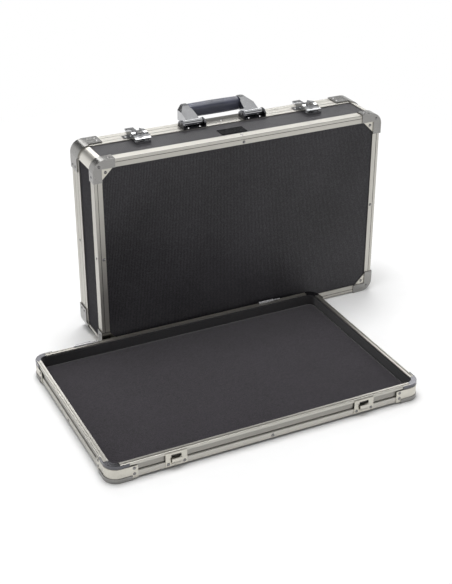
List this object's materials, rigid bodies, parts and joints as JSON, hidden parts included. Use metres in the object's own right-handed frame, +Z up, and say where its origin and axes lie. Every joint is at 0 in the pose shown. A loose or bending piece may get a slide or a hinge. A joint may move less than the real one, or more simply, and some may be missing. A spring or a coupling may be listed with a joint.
{
  "type": "guitar pedal case",
  "caption": "Aluminium-framed case for effect pedals: a shallow tray lying flat, and a deep lid lifted off its slip hinges and standing behind it, with handle and latches.",
  "frame": {"origin": "centre of the footprint of tray and standing lid together, at floor level", "axes": "+Z up, +X along the tray's length to the right, +Y from the tray's keeper side back to the lid"},
  "size_m": [0.6864, 0.5092, 0.386],
  "materials": {
    "aluminium_profile": "satin extruded aluminium",
    "black_laminate_board": "plywood faced with black ribbed laminate",
    "hardboard": "plain dark hardboard",
    "black_carpet": "short black carpet",
    "black_lining": "thin black lining cloth",
    "grey_foam": "dark open-cell foam",
    "corner_post_metal": "bright rolled corner",
    "nickel_plate": "nickel plated steel",
    "chrome_fittings": "chrome plated steel",
    "steel_hardware": "zinc plated steel",
    "rivet_metal": "domed steel rivets",
    "vinyl_grip": "soft dark vinyl with a fine grain",
    "name_plate": "blank gloss plate"
  },
  "bodies": {
    "tray": {"tray_base_board": "black_laminate_board", "tray_base_corners": "chrome_fittings", "tray_carpet": "black_carpet", "tray_corner_plates": "nickel_plate", "tray_corner_posts": "corner_post_metal", "tray_hinge_leaves": "steel_hardware", "tray_hinge_pins": "steel_hardware", "tray_hinge_rivets": "rivet_metal", "tray_keeper_left": "chrome_fittings", "tray_keeper_right": "chrome_fittings", "tray_keeper_rivets": "rivet_metal", "tray_liner": "hardboard", "tray_rail_back": "aluminium_profile", "tray_rail_front": "aluminium_profile", "tray_rail_left": "aluminium_profile", "tray_rail_right": "aluminium_profile", "tray_rim_corners": "chrome_fittings", "tray_rivets": "rivet_metal", "tray_wall_fabric": "black_lining"},
    "lid": {"handle_mount_left": "chrome_fittings", "handle_mount_right": "chrome_fittings", "handle_pins": "steel_hardware", "latch_base_left": "chrome_fittings", "latch_base_right": "chrome_fittings", "latch_pins": "steel_hardware", "latch_rivets": "rivet_metal", "lid_board_back": "black_laminate_board", "lid_board_front": "black_laminate_board", "lid_board_left": "black_laminate_board", "lid_board_right": "black_laminate_board", "lid_corner_posts": "corner_post_metal", "lid_edge_corners": "nickel_plate", "lid_edge_rail_back": "aluminium_profile", "lid_edge_rail_front": "aluminium_profile", "lid_edge_rail_left": "aluminium_profile", "lid_edge_rail_right": "aluminium_profile", "lid_face_rivets": "rivet_metal", "lid_foam": "grey_foam", "lid_gussets": "nickel_plate", "lid_hinge_leaves": "steel_hardware", "lid_name_plate": "name_plate", "lid_panel": "black_laminate_board", "lid_rim_corners": "chrome_fittings", "lid_rim_rail_back": "aluminium_profile", "lid_rim_rail_front": "aluminium_profile", "lid_rim_rail_left": "aluminium_profile", "lid_rim_rail_right": "aluminium_profile", "lid_side_rivets": "rivet_metal", "lid_wall_fabric": "black_lining"},
    "handle": {"handle_grip": "vinyl_grip", "handle_arm_left": "chrome_fittings", "handle_arm_right": "chrome_fittings"},
    "lever_left": {"latch_lever_left": "chrome_fittings"},
    "claw_left": {"latch_claw_left": "chrome_fittings"},
    "key_left": {"latch_key_left": "chrome_fittings"},
    "lever_right": {"latch_lever_right": "chrome_fittings"},
    "claw_right": {"latch_claw_right": "chrome_fittings"},
    "key_right": {"latch_key_right": "chrome_fittings"}
  },
  "joints": [
    {"name": "lid_lift", "type": "slide", "parent": "tray", "child": "lid", "axis": [0, 0, 1], "range_m": [0, 0.12]},
    {"name": "handle_fold", "type": "hinge", "parent": "lid", "child": "handle", "pos_m": [0.0646, 0.2016, 0.3675], "axis": [1, 0, 0], "range_deg": [0, 155]},
    {"name": "lever_left_open", "type": "hinge", "parent": "lid", "child": "lever_left", "pos_m": [-0.1014, 0.2086, 0.3665], "axis": [-1, 0, 0], "range_deg": [0, 105]},
    {"name": "claw_left_swing", "type": "hinge", "parent": "lever_left", "child": "claw_left", "pos_m": [-0.1014, 0.2026, 0.3642], "axis": [1, 0, 0], "range_deg": [0, 116]},
    {"name": "key_left_turn", "type": "hinge", "parent": "lever_left", "child": "key_left", "pos_m": [-0.1014, 0.1826, 0.367], "axis": [0, 0, 1], "range_deg": [0, 90]},
    {"name": "lever_right_open", "type": "hinge", "parent": "lid", "child": "lever_right", "pos_m": [0.2306, 0.2086, 0.3665], "axis": [-1, 0, 0], "range_deg": [0, 105]},
    {"name": "claw_right_swing", "type": "hinge", "parent": "lever_right", "child": "claw_right", "pos_m": [0.2306, 0.2026, 0.3642], "axis": [1, 0, 0], "range_deg": [0, 116]},
    {"name": "key_right_turn", "type": "hinge", "parent": "lever_right", "child": "key_right", "pos_m": [0.2306, 0.1826, 0.367], "axis": [0, 0, 1], "range_deg": [0, 90]}
  ],
  "couplings": [
    {"joint": "claw_left_swing", "follows": "lever_left_open", "ratio": 1.1},
    {"joint": "claw_right_swing", "follows": "lever_right_open", "ratio": 1.1}
  ]
}
